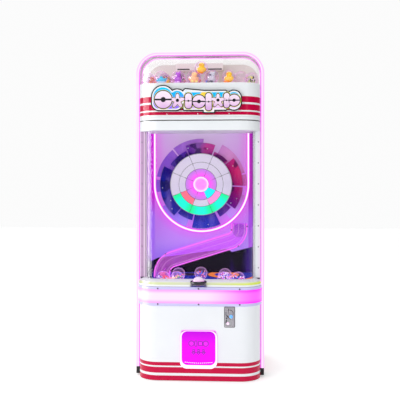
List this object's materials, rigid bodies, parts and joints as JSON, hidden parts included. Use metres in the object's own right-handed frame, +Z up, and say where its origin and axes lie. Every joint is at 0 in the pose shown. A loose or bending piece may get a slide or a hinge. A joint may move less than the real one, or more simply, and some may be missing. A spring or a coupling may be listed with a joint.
{
  "type": "capsule toy vendor",
  "caption": "Free-standing arcade capsule vendor: clear bin on top, lit arch, glazed light-board game, push button, coin acceptor and prize flap.",
  "frame": {"origin": "on the floor, at the centre of the overall box in plan", "axes": "+Z up, front with the button and prize flap towards -Y, +X to the right seen from the front"},
  "size_m": [0.8, 0.84, 2.018],
  "materials": {
    "white_metal": "semi-gloss white powder coat",
    "crimson_film": "gloss vinyl film",
    "neon_pink": "lit diffuser tube",
    "magenta_lit": "lit acrylic",
    "band_lit": "lit opal acrylic",
    "steel": "brushed",
    "black_plastic": "matte",
    "black_rubber": "matte",
    "clear_glass": "clear",
    "clear_acrylic": "clear",
    "lilac_panel": "gloss",
    "dark_liner": "gloss",
    "rim_yellow": "gloss",
    "button_pink": "lit opal",
    "led_blue": "lit",
    "white_plastic": "gloss",
    "tile_opal": "opal",
    "blade_dark": "tinted acrylic",
    "blade_pale": "tinted acrylic",
    "capsule_clear": "clear",
    "sign_print": "printed",
    "print_blue": "printed",
    "rotor_yellow": "moulded",
    "board_green": "solder mask",
    "grey_metal": "satin"
  },
  "bodies": {
    "cabinet": {"levelling_feet": "black_rubber", "base_board": "grey_metal", "lower_shell": "white_metal", "crimson_stripes": "crimson_film", "rear_frame": "white_metal", "hinge_pins": "steel", "rear_handles": "black_plastic", "side_panels": "white_metal", "arch_shell": "white_metal", "arch_neon": "neon_pink", "arch_feet": "black_rubber", "band_housing": "white_plastic", "band_diffuser": "band_lit", "panel_screws": "steel", "console_rim": "white_plastic", "rim_inlay": "rim_yellow", "button_bezel": "black_plastic", "coin_plate": "steel", "coin_mechanism": "black_plastic", "door_bezel": "band_lit", "prize_box": "dark_liner", "cash_box": "grey_metal", "control_board": "board_green", "power_supply": "grey_metal", "power_inlet": "black_plastic", "window_glass": "clear_glass", "window_posts": "white_metal", "game_ceiling": "white_metal", "back_panel": "lilac_panel", "inner_walls": "dark_liner", "play_floor": "print_blue", "play_capsules": "capsule_clear", "neon_u": "neon_pink", "board_housing": "black_plastic", "board_tiles": "tile_opal", "board_lens": "button_pink", "blades_front": "blade_dark", "blades_rear": "blade_pale", "s_chute": "clear_acrylic", "drop_tubes": "white_plastic", "cornice_band": "white_metal", "groove_seal": "black_rubber", "header_shell": "white_metal", "sign_board": "sign_print", "bin_base": "white_plastic", "gear_motor": "grey_metal", "dome_cover": "clear_acrylic", "bin_wall": "white_plastic", "bin_lamp": "white_plastic", "bin_capsules": "capsule_clear"},
    "rear_door": {"rear_door": "white_metal", "lock_barrel": "steel"},
    "lock_cam": {"lock_cam": "steel"},
    "start_button": {"button_dome": "button_pink"},
    "reject_button": {"coin_reject_button": "led_blue"},
    "return_flap": {"coin_return_flap": "steel"},
    "prize_flap": {"prize_flap": "magenta_lit"},
    "bin_hatch": {"bin_hatch": "white_plastic"},
    "bin_rotor": {"bin_rotor": "rotor_yellow"},
    "rotor_pinion": {"rotor_pinion": "steel"}
  },
  "joints": [
    {"name": "prize_flap_swing", "type": "hinge", "parent": "cabinet", "child": "prize_flap", "pos_m": [0, -0.345, 0.3], "axis": [1, 0, 0], "range_deg": [0, 75]},
    {"name": "start_button_press", "type": "slide", "parent": "cabinet", "child": "start_button", "axis": [0, 0, -1], "range_m": [0, 0.004], "stiffness_N_per_m": 600, "springref_m": -0.002},
    {"name": "reject_button_press", "type": "slide", "parent": "cabinet", "child": "reject_button", "axis": [0, 1, 0], "range_m": [0, 0.003], "stiffness_N_per_m": 400, "springref_m": -0.001},
    {"name": "return_flap_swing", "type": "hinge", "parent": "cabinet", "child": "return_flap", "pos_m": [0.181, -0.35, 0.372], "axis": [1, 0, 0], "range_deg": [0, 60]},
    {"name": "rear_door_swing", "type": "hinge", "parent": "cabinet", "child": "rear_door", "pos_m": [-0.268, 0.398, 0.52], "axis": [0, 0, 1], "range_deg": [0, 110]},
    {"name": "door_lock_turn", "type": "hinge", "parent": "rear_door", "child": "lock_cam", "pos_m": [0.225, 0.392, 0.53], "axis": [0, -1, 0], "range_deg": [0, 90]},
    {"name": "bin_hatch_swing", "type": "hinge", "parent": "cabinet", "child": "bin_hatch", "pos_m": [-0.01, 0.109, 1.826], "axis": [-1, 0, 0], "range_deg": [0, 90]},
    {"name": "bin_rotor_spin", "type": "hinge", "parent": "cabinet", "child": "bin_rotor", "pos_m": [0.165, -0.06, 1.75], "axis": [0, 0, 1], "continuous": true},
    {"name": "rotor_pinion_spin", "type": "hinge", "parent": "cabinet", "child": "rotor_pinion", "pos_m": [0.12, -0.06, 1.7], "axis": [0, 0, 1], "continuous": true}
  ],
  "couplings": [
    {"joint": "rotor_pinion_spin", "follows": "bin_rotor_spin", "ratio": -2}
  ]
}
